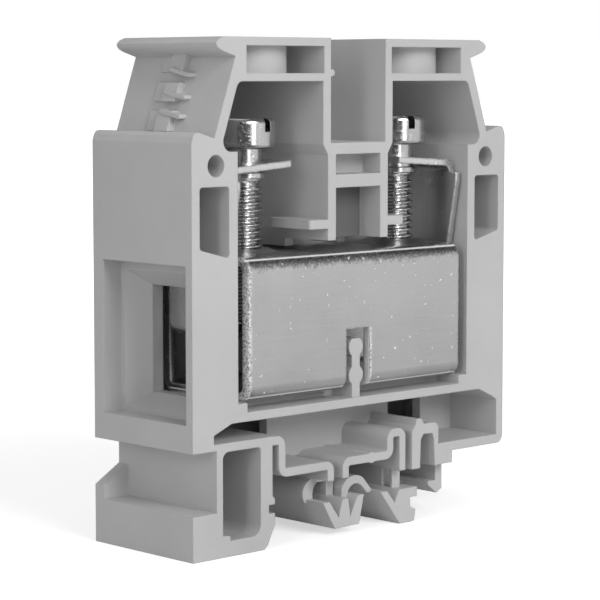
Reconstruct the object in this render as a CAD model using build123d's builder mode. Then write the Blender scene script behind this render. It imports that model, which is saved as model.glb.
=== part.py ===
"""Two-way screw terminal block for a top-hat rail.

The frame: x runs along the wires, y from the open front (negative) to the closed back,
z up from the underside of the foot. Millimetres.
"""
import os
from math import radians, tan

from build123d import *

os.makedirs("parts", exist_ok=True)

# Overall size of the moulding
length = 62.6
thickness = 21.0
height = 70.75

# Levels of the moulding above the foot
shoulder_level = 57.15
roof_level = 64.75
floor_level = 19.6
floor_bar = 1.25
end_wall_bottom = 14.85
foot_block_top = 6.3

# Walls and chambers
back_wall = 1.6
end_wall = 8.25
slant_wall = 1.65
tower_inner_wall = 1.47
centre_slot_width = 10.92
centre_slot_floor = 56.1
pillar_width = 12.0
shelf_sheet = 1.3
shelf_reach = 3.4
shelf_depth = 9.3
pillar_pocket_height = 2.85
pillar_pocket_depth = 3.5
pillar_void_depth = 4.1
side_hole_radius = 1.5
side_hole_depth = 8.0

# Folded metal clamp
sheet = 1.2
bend_radius = 2.0
clamp_height = 19.85
clamp_back_gap = 1.6
ledge_rise = 1.3
key_slot_width = 4.6
key_slot_height = 8.7
boss_rise = 0.7
boss_radius = 6.2

# Screws and stirrups
screw_inset = 6.0
screw_forward = 0.9
screw_radius = 3.0
screw_length = 29.05
head_radius = 4.85
head_height = 4.25
head_bevel = 0.5
driver_slot_width = 1.3
driver_slot_depth = 1.9
collar_radius = 3.4
collar_height = 0.9
running_gap = 0.06
stirrup_sheet = 0.95
stirrup_tilt = 3.8
stirrup_drop = 24.3
strip_reach = 4.35
strip_setback = 1.3
plate_front = 1.1
plate_back = 15.3
head_level = 59.65

# Wire entries
entry_recess = 3.3
throat_headroom = 4.75
throat_inset = 2.0
entry_flare = 2.7

# Marker pegs
peg_front = 8.9
peg_width = 2.9

# Foot, springs and the rail they hold
rail_width = 35.0
curl_depth = 3.6
arch_depth = 2.2
stem_depth = 1.8
rail_shift = 1.2
spring_wall = 1.22
spring_level = 10.4
web_depth = 9.5
web_wall = 1.6
pocket_corner = 0.5

half_length = length / 2
chamber_half = half_length - end_wall
chamber_depth = thickness - back_wall
tower_inner = centre_slot_width / 2
pillar_half = pillar_width / 2
clamp_bottom = floor_level + ledge_rise
clamp_top = clamp_bottom + clamp_height
stirrup_space = 1.85
clamp_half = chamber_half - stirrup_space
screw_x = clamp_half - screw_inset
clamp_depth = chamber_depth - clamp_back_gap
screw_depth = clamp_depth / 2 - screw_forward
entry_throat_width = clamp_depth - 2 * throat_inset
entry_throat_height = clamp_height - throat_headroom
floor_underside = floor_level - floor_bar


def at_depth(depth):
    """Plane parallel to the open front, this far behind it, drawn in x and z."""
    return Plane.XZ.offset(thickness / 2 - depth)


def y_at(depth):
    """The y of a place this far behind the open front."""
    return depth - thickness / 2


# The slanted outer wall of each tower, from its foot on the shoulder to the lip
wall_foot_x = half_length - 4.1
wall_top_x = half_length - 7.9
wall_top_level = height - 2.65
wall_slope = (wall_foot_x - wall_top_x) / (wall_top_level - shoulder_level)


def slant_x(level):
    """Outer face of the slanted wall at this level, on the positive side."""
    return wall_top_x + (wall_top_level - level) * wall_slope


# Half of the symmetric upper moulding, on the positive side
lip_x = half_length - 4.45
pillar_bottom = clamp_top + 1.65
chamber_corner_level = shoulder_level - 1.85
throat_bottom = clamp_bottom + 0.4
throat_front = throat_inset
throat_x = chamber_half + 1.9
recess_x = half_length - entry_recess
pocket_bottom = roof_level + 1.1
pocket_top = height - 1.15
pocket_outer_x = slant_x(pocket_top) - 1.5
guide_bore = head_radius + 0.5
guide_radius = guide_bore + 1.0
side_hole_x = half_length - 4.33
side_hole_level = shoulder_level - 3.7
window_inner_x = chamber_half + 1.55
window_outer_x = half_length - 1.4

with BuildPart() as half_body:
    with BuildSketch(at_depth(0)):
        with BuildLine():
            Polyline(
                (0, floor_underside),
                (half_length, floor_underside),
                (half_length, shoulder_level - 0.6),
                (half_length - 0.3, shoulder_level + 0.35),
                (half_length - 0.65, shoulder_level + 0.75),
                (half_length - 1.3, shoulder_level + 0.85),
                (wall_foot_x, shoulder_level),
                (wall_top_x, wall_top_level),
                (lip_x - 1.2, wall_top_level + 0.7),
                (lip_x - 0.45, wall_top_level + 1.05),
                (lip_x - 0.1, wall_top_level + 1.4),
                (lip_x, height - 0.85),
                (lip_x - 0.5, height - 0.35),
                (lip_x - 1.45, height),
                (tower_inner, height),
                (tower_inner, centre_slot_floor),
                (0, centre_slot_floor),
                close=True,
            )
        make_face()
    extrude(amount=-thickness)

    # Chamber for the metal, open at the front
    with BuildSketch(at_depth(0)) as chamber:
        with BuildLine():
            Polyline(
                (0, clamp_bottom),
                (chamber_half, clamp_bottom),
                (chamber_half, chamber_corner_level),
                (slant_x(chamber_corner_level) - slant_wall, chamber_corner_level),
                (slant_x(roof_level) - slant_wall, roof_level),
                (tower_inner + tower_inner_wall, roof_level),
                (tower_inner + tower_inner_wall, centre_slot_floor - 0.2),
                (pillar_half, centre_slot_floor - 1.65),
                (pillar_half, pillar_bottom),
                (0, pillar_bottom),
                close=True,
            )
        make_face()
        fillet(chamber.vertices().group_by(Axis.X)[-1], 1.4)
        fillet(chamber.vertices().group_by(Axis.Y)[-1].sort_by(Axis.X)[-1], 1.1)
    extrude(amount=-chamber_depth, mode=Mode.SUBTRACT)

    # Groove in the floor in front of the ledge that carries the clamp
    with BuildSketch(at_depth(0)):
        with Locations((clamp_half / 2, floor_level + ledge_rise / 2)):
            Rectangle(clamp_half + 0.3, ledge_rise)
    extrude(amount=-4.6, mode=Mode.SUBTRACT)

    # Front pockets either side of the screwdriver guide
    with BuildSketch(Plane.XY.offset(pocket_bottom)) as pocket:
        with BuildLine():
            Polyline(
                (tower_inner + tower_inner_wall - 0.2, y_at(0)),
                (pocket_outer_x, y_at(0)),
                (pocket_outer_x, y_at(screw_depth)),
                (tower_inner + tower_inner_wall - 0.2, y_at(screw_depth)),
                close=True,
            )
        make_face()
        with Locations((screw_x, y_at(screw_depth))):
            Circle(guide_radius, mode=Mode.SUBTRACT)
    extrude(amount=pocket_top - pocket_bottom, mode=Mode.SUBTRACT)

    # Screwdriver guide through the top
    with BuildSketch(Plane.XY.offset(height)):
        with Locations((screw_x, y_at(screw_depth))):
            Circle(guide_bore)
    extrude(amount=roof_level - height, mode=Mode.SUBTRACT)

    # Round hole beside the shoulder and the window below it
    with BuildSketch(at_depth(0)):
        with Locations((side_hole_x, side_hole_level)):
            Circle(side_hole_radius)
    extrude(amount=-side_hole_depth, mode=Mode.SUBTRACT)
    with BuildSketch(at_depth(0)) as window:
        with BuildLine():
            Polyline(
                (window_inner_x, clamp_top + 0.15),
                (window_outer_x, clamp_top + 1.55),
                (window_outer_x, clamp_top + 9.9),
                (window_inner_x, clamp_top + 9.9),
                close=True,
            )
        make_face()
        fillet(window.vertices(), pocket_corner)
    extrude(amount=-15.0, mode=Mode.SUBTRACT)

    # Wire entry: a recess, a funnel and a throat
    entry_level = throat_bottom + entry_throat_height / 2
    with BuildSketch(Plane.YZ.offset(half_length)):
        with Locations((y_at(thickness / 2 - 0.37), entry_level + 0.15)):
            Rectangle(thickness - 3.45, entry_throat_height + 7.1)
    extrude(amount=-entry_recess, mode=Mode.SUBTRACT)
    with BuildSketch(Plane.YZ.offset(recess_x)):
        with Locations((y_at(10.0), entry_level + 0.15)):
            Rectangle(entry_throat_width + entry_flare, entry_throat_height + 4.3)
    with BuildSketch(Plane.YZ.offset(throat_x)):
        with Locations((y_at(throat_front + entry_throat_width / 2), entry_level)):
            Rectangle(entry_throat_width, entry_throat_height)
    loft(mode=Mode.SUBTRACT)
    with BuildSketch(Plane.YZ.offset(chamber_half)):
        with Locations((y_at(throat_front + entry_throat_width / 2), entry_level)):
            Rectangle(entry_throat_width, entry_throat_height)
    extrude(amount=throat_x - chamber_half, mode=Mode.SUBTRACT)

    # Marker pegs on the slanted wall: a block with a low pad behind it and a thin finger across it
    for bottom, top, finger in (
        (wall_top_level - 2.1, wall_top_level + 0.7, wall_top_level - 2.15),
        (wall_top_level - 6.1, wall_top_level - 3.5, wall_top_level - 5.2),
        (shoulder_level + 0.8, shoulder_level + 3.6, shoulder_level + 3.15),
    ):
        for front, width, proud in ((peg_front, peg_width, 1.15), (peg_front + peg_width, 2.6, 0.3)):
            with BuildSketch(at_depth(front)):
                with BuildLine():
                    Polyline(
                        (slant_x(bottom) - 0.5, bottom),
                        (slant_x(bottom) + proud, bottom),
                        (slant_x(top) + proud, top),
                        (slant_x(top) - 0.5, top),
                        close=True,
                    )
                make_face()
            extrude(amount=-width)
        with BuildSketch(Plane.YZ.offset(slant_x(finger) - 0.5)):
            with Locations((y_at(peg_front + 0.2), finger)):
                SlotOverall(peg_width + 1.5, 0.6, rotation=11)
        extrude(amount=1.9)

    # Shelf that the stirrup comes down on
    with BuildSketch(Plane.XY.offset(clamp_top + 3.35)) as shelf:
        with BuildLine():
            Polyline(
                (pillar_half - 0.5, y_at(0)),
                (pillar_half + shelf_reach, y_at(0)),
                (pillar_half + shelf_reach, y_at(shelf_depth)),
                (pillar_half - 0.5, y_at(shelf_depth)),
                close=True,
            )
        make_face()
        fillet(shelf.vertices().group_by(Axis.X)[-1].sort_by(Axis.Y)[0], 0.5)
        fillet(shelf.vertices().group_by(Axis.Y)[-1].sort_by(Axis.X)[-1], 1.6)
    extrude(amount=shelf_sheet)

    # Foot of the pillar wall behind the shelf
    with BuildSketch(at_depth(shelf_depth - 0.5)):
        with Locations((pillar_half - 0.8, pillar_bottom - 0.5)):
            Rectangle(1.6, 1.4)
    extrude(amount=-5.5)

# The moulding: both halves, the centre pillar, the foot and the rail springs.
# The latches are placed from the rail's middle.
foot_right = rail_shift - rail_width / 2 - 0.4
hook_x = rail_shift + rail_width / 2 + 0.2
inner_x = rail_shift - 3.6
outer_x = rail_shift + 8.1
first_leg_x = inner_x - 2.96
hump_x = outer_x - 2.55
foot_pocket_left = 5.4 - half_length
foot_pocket_right = foot_right - 2.2
arm_x = foot_right + 1.84
pillar_wall = 1.55
pocket_roof = centre_slot_floor - 1.6
void_roof = pocket_roof - pillar_pocket_height - 1.85
bar_bottom = 9.65
right_bar = 1.35
post_left = outer_x + 2.0
post_right = post_left + 5.7
gap_right = post_right + 6.0
web_left = inner_x - 6.6
post_top = 14.3

with BuildPart() as housing:
    add(half_body.part)
    mirror(about=Plane.YZ)

    # Pockets in the centre pillar
    with BuildSketch(at_depth(0)):
        with Locations((0, pocket_roof - pillar_pocket_height / 2)):
            Rectangle(pillar_width - 2 * pillar_wall, pillar_pocket_height)
    extrude(amount=-pillar_pocket_depth, mode=Mode.SUBTRACT)
    with BuildSketch(at_depth(0)):
        with Locations((0, (pillar_bottom + void_roof) / 2)):
            Rectangle(pillar_width - 2 * pillar_wall, void_roof - pillar_bottom)
    extrude(amount=-pillar_void_depth, mode=Mode.SUBTRACT)

    # Bead on the left tower, inside the centre slot
    with BuildSketch(at_depth(0)):
        with Locations((-tower_inner + 0.25, roof_level + 1.15)):
            Circle(0.5)
    extrude(amount=-0.9)

    # Keyhole rib between the clamp's two halves
    with BuildSketch(at_depth(0.4)):
        with Locations((0, floor_level + 4.15)):
            Rectangle(1.6, 8.7)
        with Locations((0, floor_level + 3.2), (0, floor_level + 7.25)):
            Circle(1.43)
        with Locations((0, floor_level + 9.1)):
            Rectangle(4.0, 1.2, mode=Mode.SUBTRACT)
    extrude(amount=-(thickness - 0.4 - back_wall / 2))

    # Left end wall, waist, foot block and leg
    with BuildSketch(at_depth(0)) as foot:
        with BuildLine():
            Polyline(
                (-half_length, floor_underside + 0.3),
                (-half_length, end_wall_bottom),
                (-half_length + 4.3, end_wall_bottom),
                (-half_length + 4.3, foot_block_top),
                (-half_length, foot_block_top),
                (-half_length, 0),
                (foot_right - 1.6, 0),
                (foot_right - 0.9, 0.63),
                (foot_right + 0.45, 3.3),
                (foot_right + 0.45, 4.97),
                (foot_right - 0.7, 4.97),
                (foot_right - 0.7, 6.2),
                (foot_right + 0.45, 6.2),
                (foot_right + 0.45, 6.95),
                (foot_right, 7.4),
                (foot_right, end_wall_bottom + 0.9),
                (-half_length + 3.8, end_wall_bottom + 0.9),
                (-half_length + 3.8, floor_underside - 1.35),
                (-half_length + 7.1, floor_underside),
                (-half_length + 7.1, floor_underside + 0.3),
                close=True,
            )
        make_face()
    extrude(amount=-thickness)
    with BuildSketch(at_depth(0)) as foot_pocket:
        with BuildLine():
            Polyline(
                (foot_pocket_left, 3.0),
                (foot_pocket_left + 1.3, 2.9),
                (foot_pocket_left + 1.4, 2.2),
                (foot_pocket_right, 2.2),
                (foot_pocket_right, end_wall_bottom - 0.3),
                (foot_pocket_left, end_wall_bottom - 0.3),
                close=True,
            )
        make_face()
        fillet(foot_pocket.vertices().group_by(Axis.Y)[-1].sort_by(Axis.X)[0], 1.1)
        fillet(foot_pocket.vertices().group_by(Axis.Y)[-1].sort_by(Axis.X)[-1], pocket_corner)
        fillet(foot_pocket.vertices().group_by(Axis.Y)[0].sort_by(Axis.X)[-1], 1.5)
    extrude(amount=-chamber_depth, mode=Mode.SUBTRACT)
    with BuildSketch(at_depth(thickness - 2.0)):
        with BuildLine():
            Polyline(
                (-half_length, foot_block_top - 0.3),
                (-half_length, foot_block_top + 1.9),
                (-half_length + 4.5, foot_block_top + 4.6),
                (-half_length + 4.5, foot_block_top - 0.3),
                close=True,
            )
        make_face()
    extrude(amount=-2.0)

    # Right end wall and the bar along its foot
    with BuildSketch(at_depth(0)) as right_end:
        with BuildLine():
            Polyline(
                (half_length, floor_underside + 0.3),
                (half_length, bar_bottom),
                (post_right - 0.5, bar_bottom),
                (post_right - 0.5, bar_bottom + right_bar),
                (half_length - 1.4, bar_bottom + right_bar),
                (half_length - 1.4, floor_underside - 2.0),
                (half_length - 2.4, floor_underside - 1.35),
                (half_length - 5.4, floor_underside),
                (half_length - 5.4, floor_underside + 0.3),
                close=True,
            )
        make_face()
        fillet(right_end.vertices().group_by(Axis.Y)[0].sort_by(Axis.X)[-1], 1.3)
    extrude(amount=-thickness)

    # Spring from the foot's leg to the inner latch
    with BuildSketch(at_depth(0)):
        with BuildLine() as first_spring:
            FilletPolyline(
                (foot_right - 1.0, end_wall_bottom + 0.25),
                (arm_x, end_wall_bottom + 0.25),
                (arm_x, spring_level),
                (first_leg_x, spring_level),
                (first_leg_x, 8.1),
                radius=0.9,
            )
        trace(line_width=spring_wall)
    extrude(amount=-thickness)

    # Spring from the inner latch over the hump to the outer latch, with a small lump on it
    with BuildSketch(at_depth(0)):
        with BuildLine() as second_spring:
            FilletPolyline(
                (inner_x, 8.2),
                (inner_x, spring_level + 0.12),
                (hump_x, spring_level + 0.12),
                (hump_x, post_top - 0.66),
                (outer_x, post_top - 0.66),
                (outer_x, 7.9),
                radius=0.9,
            )
        trace(line_width=spring_wall)
        with Locations((inner_x + 5.3, spring_level + 0.12)):
            Circle(0.8)
    extrude(amount=-thickness)

    # Inner latch, hung on a curled wall and a stem
    with BuildSketch(at_depth(0)):
        with BuildLine():
            Polyline(
                (inner_x - 4.5, 5.1),
                (inner_x - 3.2, 5.1),
                (inner_x - 1.35, 2.56),
                (inner_x - 0.6, 5.2),
                (inner_x + 0.55, 5.2),
                (inner_x + 0.97, 2.4),
                (inner_x + 2.5, 5.35),
                (inner_x + 3.7, 5.35),
                (inner_x + 2.71, 1.2),
                (inner_x - 2.1, 1.07),
                (inner_x - 2.9, 2.3),
                close=True,
            )
        make_face()
    extrude(amount=-thickness)
    with BuildSketch(at_depth(curl_depth)):
        with BuildLine():
            ThreePointArc((first_leg_x - 1.67, 4.6), (first_leg_x - 2.07, 6.5), (first_leg_x - 0.6, 7.9))
            Polyline(
                (first_leg_x - 0.6, 7.9),
                (first_leg_x - 0.6, 8.5),
                (first_leg_x + 0.6, 8.5),
                (first_leg_x + 0.6, 7.95),
                (inner_x - 0.3, 7.95),
                (inner_x - 0.3, 7.35),
                (first_leg_x + 0.7, 7.4),
            )
            ThreePointArc((first_leg_x + 0.7, 7.4), (first_leg_x - 0.09, 6.35), (first_leg_x + 0.1, 4.6))
            Line((first_leg_x + 0.1, 4.6), (first_leg_x - 1.67, 4.6))
        make_face()
        with Locations((inner_x + 0.25, 6.6)):
            Rectangle(1.4, 3.6)
    extrude(amount=-(thickness - curl_depth))

    # Arch between the latches: half round, then straight down to the outer one
    with BuildSketch(at_depth(arch_depth)):
        with BuildLine():
            Polyline((inner_x + 2.6, 5.5), (inner_x + 2.6, 3.4), (inner_x + 1.2, 3.4), (inner_x + 1.35, 6.2))
            ThreePointArc((inner_x + 1.35, 6.2), (inner_x + 3.7, 7.8), (inner_x + 5.8, 7.2))
            Polyline((inner_x + 5.8, 7.2), (outer_x - 3.9, 4.9), (outer_x - 5.1, 4.9), (inner_x + 5.3, 6.2))
            ThreePointArc((inner_x + 5.3, 6.2), (inner_x + 4.0, 6.6), (inner_x + 2.6, 5.5))
        make_face()
    extrude(amount=-(thickness - arch_depth))

    # Outer latch and its stem, which is split across by a slit
    with BuildSketch(at_depth(0)):
        with BuildLine():
            Polyline(
                (outer_x - 4.6, 5.2),
                (outer_x - 3.2, 5.2),
                (outer_x - 1.54, 3.23),
                (outer_x - 0.7, 5.1),
                (outer_x + 3.1, 5.1),
                (outer_x + 3.1, 3.7),
                (outer_x + 1.63, 3.7),
                (outer_x + 1.63, 2.3),
                (outer_x + 2.8, 1.8),
                (outer_x + 2.5, 0.15),
                (outer_x + 2.0, 0),
                (outer_x - 0.5, 0),
                close=True,
            )
        make_face()
    extrude(amount=-thickness)
    for front, back in ((stem_depth, stem_depth + 0.45), (stem_depth + 2.1, thickness)):
        with BuildSketch(at_depth(front)):
            with Locations((outer_x + 0.5, 6.6)):
                Rectangle(1.6, 3.4)
        extrude(amount=front - back)

    # Bridge post with its ridge, the tab beside it and the hook under the rail's flange
    with BuildSketch(at_depth(0)) as post:
        with BuildLine():
            Polyline(
                (post_left, 7.75),
                (post_left, post_top - 0.9),
                (post_left + 0.7, post_top - 0.1),
                (post_left + 1.0, post_top + 0.9),
                (post_left + 2.1, post_top + 0.8),
                (post_left + 2.5, post_top),
                (post_right, post_top),
                (post_right, 7.75),
                close=True,
            )
        make_face()
        fillet(post.vertices().group_by(Axis.X)[-1].sort_by(Axis.Y)[-1], 1.0)
        with BuildLine():
            Polyline(
                (post_left + 1.75, 7.0),
                (post_left + 1.9, post_top - 2.3),
                (post_left + 2.5, post_top - 1.5),
                (post_right - 1.3, post_top - 1.6),
                (post_right - 0.95, post_top - 2.5),
                (post_right - 0.75, 7.0),
                close=True,
            )
        make_face(mode=Mode.SUBTRACT)
        with Locations((post_right + 1.25, 8.8)):
            Rectangle(3.5, 1.9)
    extrude(amount=-thickness)
    with BuildSketch(at_depth(2.4)):
        with BuildLine():
            Polyline(
                (hook_x, 9.8),
                (hook_x + 1.4, 9.8),
                (hook_x + 1.4, 3.6),
                (hook_x + 0.3, 3.0),
                (hook_x - 1.6, 4.4),
                (hook_x - 1.6, 4.97),
                (hook_x, 4.97),
                close=True,
            )
        make_face()
    extrude(amount=-(thickness - 4.8))

    # Web in the middle of the thickness between springs and floor bar, with a gap beyond the post
    with BuildSketch(at_depth(web_depth)):
        with BuildLine():
            Polyline(
                (web_left, floor_underside + 0.3),
                (web_left, spring_level),
                (hump_x, spring_level),
                (hump_x, post_top - 1.0),
                (post_right - 1.1, post_top - 1.0),
                (post_right - 1.1, floor_underside + 0.3),
                close=True,
            )
        make_face()
        with BuildLine():
            Polyline(
                (gap_right, floor_underside + 0.3),
                (gap_right, bar_bottom + 0.5),
                (half_length - 1.0, bar_bottom + 0.5),
                (half_length - 1.0, floor_underside + 0.3),
                close=True,
            )
        make_face()
    extrude(amount=-web_wall)

    # Back wall below the floor bar
    with BuildSketch(at_depth(chamber_depth)):
        with BuildLine():
            Polyline(
                (2.0 - half_length, floor_underside + 0.3),
                (2.0 - half_length, end_wall_bottom + 0.3),
                (arm_x, end_wall_bottom + 0.3),
                (arm_x, spring_level),
                (post_right, spring_level),
                (half_length - 1.0, bar_bottom + 0.5),
                (half_length - 1.0, floor_underside + 0.3),
                close=True,
            )
        make_face()
    extrude(amount=-back_wall)
housing.part.label = "housing"
export_step(housing.part, "parts/housing.step")

# Folded clamp body: a sleeve with a threaded boss over each screw hole
clamp_front = 0.0
with BuildPart() as clamp_body:
    with BuildSketch(Plane.YZ.offset(-clamp_half)) as sleeve:
        with Locations((y_at(clamp_front + clamp_depth / 2), (clamp_bottom + clamp_top) / 2)):
            RectangleRounded(clamp_depth, clamp_height, bend_radius)
            RectangleRounded(
                clamp_depth - 2 * sheet, clamp_height - 2 * sheet, bend_radius - sheet, mode=Mode.SUBTRACT
            )
    extrude(amount=2 * clamp_half)
    for centre in (-screw_x, screw_x):
        rim_x = centre + screw_radius + 0.9
        with BuildSketch(Plane.XZ.offset(-y_at(screw_depth))):
            with BuildLine():
                Polyline(
                    (centre + boss_radius, clamp_top),
                    (centre + boss_radius, clamp_top - 0.4),
                    (centre, clamp_top - 0.4),
                    (centre, clamp_top + boss_rise),
                    (rim_x, clamp_top + boss_rise),
                )
                ThreePointArc(
                    (rim_x, clamp_top + boss_rise),
                    ((rim_x + centre + boss_radius) / 2, clamp_top + 0.35 * boss_rise),
                    (centre + boss_radius, clamp_top),
                )
            make_face()
        revolve(axis=Axis((centre, y_at(screw_depth), 0), (0, 0, 1)))
    with BuildSketch(Plane.XY.offset(clamp_top + boss_rise)):
        with Locations((-screw_x, y_at(screw_depth)), (screw_x, y_at(screw_depth))):
            Circle(screw_radius + running_gap)
    extrude(amount=-(boss_rise + sheet + 0.5), mode=Mode.SUBTRACT)
    with BuildSketch(at_depth(-1.0)):
        with Locations((0, clamp_bottom + key_slot_height / 2 - 1.0)):
            Rectangle(key_slot_width, key_slot_height + 2.0)
    extrude(amount=-(clamp_depth + 2.0), mode=Mode.SUBTRACT)
clamp_body.part.label = "clamp_body"
export_step(clamp_body.part, "parts/clamp_body.step")

# Stirrups and screws, a mirrored pair of each
neck_top = head_level - head_height
neck_bottom = neck_top - 3.3
strip_level = 53.0
plate_x = (clamp_half + chamber_half) / 2 - 0.05
stirrup_bottom = strip_level - stirrup_drop + stirrup_sheet
strip_back = 2 * screw_depth - plate_front - strip_setback
plate_shoulder = strip_level - 1.8
plate_corner = 1.8

for side, name in ((-1, "left"), (1, "right")):
    tilt = tan(radians(stirrup_tilt))
    with BuildPart() as stirrup:
        with BuildSketch(at_depth(plate_front)):
            with BuildLine():
                FilletPolyline(
                    (side * (screw_x - strip_reach), strip_level + strip_reach * tilt),
                    (side * plate_x, strip_level - (plate_x - screw_x) * tilt),
                    (side * plate_x, stirrup_bottom),
                    (side * (screw_x - 3.6), stirrup_bottom),
                    radius=1.4,
                )
            trace(line_width=stirrup_sheet)
        extrude(amount=plate_front - plate_back)
        with BuildSketch(Plane.XY.offset(strip_level - 4)):
            with Locations((side * screw_x, y_at(screw_depth))):
                Circle(screw_radius + 0.1)
        extrude(amount=8, mode=Mode.SUBTRACT)
        for edge, strip_edge, inward in (
            (plate_front, plate_front + strip_setback, 1),
            (plate_back, strip_back, -1),
        ):
            taper = y_at(edge) + inward * (2.0 if inward > 0 else 0.3)
            low = stirrup_bottom - stirrup_sheet / 2
            with BuildSketch(Plane.YZ.offset(side * (plate_x + 2))):
                with BuildLine():
                    Polyline(
                        (taper + inward * plate_corner, low),
                        (taper + inward * plate_corner, low - 1),
                        (y_at(edge) - inward, low - 1),
                        (y_at(edge) - inward, strip_level + 4),
                        (y_at(strip_edge), strip_level + 4),
                        (y_at(strip_edge), plate_shoulder),
                        (y_at(edge), plate_shoulder),
                        (y_at(edge), plate_shoulder - 1.2),
                        (taper, clamp_top - 2.5),
                        (taper, low + plate_corner),
                    )
                    ThreePointArc(
                        (taper, low + plate_corner),
                        (taper + inward * 0.293 * plate_corner, low + 0.293 * plate_corner),
                        (taper + inward * plate_corner, low),
                    )
                make_face()
            extrude(amount=-side * 20, mode=Mode.SUBTRACT)
    stirrup.part.label = name + "_stirrup"
    export_step(stirrup.part, "parts/" + name + "_stirrup.step")

    with BuildPart() as screw:
        with BuildSketch(Plane.XZ.offset(-y_at(screw_depth))) as profile:
            with BuildLine():
                Polyline(
                    (0, head_level - screw_length),
                    (screw_radius - 0.6, head_level - screw_length),
                    (screw_radius, head_level - screw_length + 0.6),
                    (screw_radius, neck_bottom - collar_height),
                    (collar_radius, neck_bottom - collar_height),
                    (collar_radius, neck_bottom),
                    (screw_radius, neck_bottom),
                    (screw_radius, neck_top),
                    (head_radius, neck_top),
                    (head_radius, head_level),
                    (0, head_level),
                    close=True,
                )
            make_face()
            chamfer(profile.vertices().group_by(Axis.X)[-1], head_bevel)
        revolve(axis=Axis((0, y_at(screw_depth), 0), (0, 0, 1)))
        with BuildSketch(Plane.XY.offset(head_level)):
            with Locations((0, y_at(screw_depth))):
                Rectangle(driver_slot_width, 2 * head_radius + 1)
        extrude(amount=-driver_slot_depth, mode=Mode.SUBTRACT)
    screw.part.label = name + "_screw"
    placed = Pos(side * screw_x, 0, 0) * screw.part
    placed.label = name + "_screw"
    export_step(placed, "parts/" + name + "_screw.step")
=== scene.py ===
import logging
import math
from dataclasses import dataclass
from enum import Enum

import bmesh
import bpy
from mathutils import Matrix, Vector


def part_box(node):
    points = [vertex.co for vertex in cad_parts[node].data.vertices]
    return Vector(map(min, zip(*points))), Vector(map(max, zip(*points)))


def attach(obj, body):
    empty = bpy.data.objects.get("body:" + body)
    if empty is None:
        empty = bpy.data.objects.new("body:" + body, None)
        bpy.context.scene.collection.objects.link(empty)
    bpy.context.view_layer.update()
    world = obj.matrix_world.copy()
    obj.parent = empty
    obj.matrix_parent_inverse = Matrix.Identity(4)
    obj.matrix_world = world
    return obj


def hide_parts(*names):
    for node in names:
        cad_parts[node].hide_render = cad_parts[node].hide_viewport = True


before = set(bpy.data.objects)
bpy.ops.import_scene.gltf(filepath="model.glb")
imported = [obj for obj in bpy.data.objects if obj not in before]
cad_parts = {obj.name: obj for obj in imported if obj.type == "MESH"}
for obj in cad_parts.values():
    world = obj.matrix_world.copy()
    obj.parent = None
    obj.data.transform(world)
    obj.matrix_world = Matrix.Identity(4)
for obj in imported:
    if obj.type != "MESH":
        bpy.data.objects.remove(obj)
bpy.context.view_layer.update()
MM = 0.001
SHARP_DEGREES = 30.0
# Most values of a noise texture lie in this range.
NOISE_RANGE = (0.3, 0.7)
Socket = bpy.types.NodeSocket
Feed = Socket | float | tuple[float, ...]
Pair = tuple[float, float]
Triple = tuple[float, float, float]
Colour = tuple[float, float, float, float]
log = logging.getLogger("terminal_block")


class Side(Enum):
    """The two ends of the block, as the nodes and bodies spell them."""

    LEFT = "left"
    RIGHT = "right"


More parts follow.
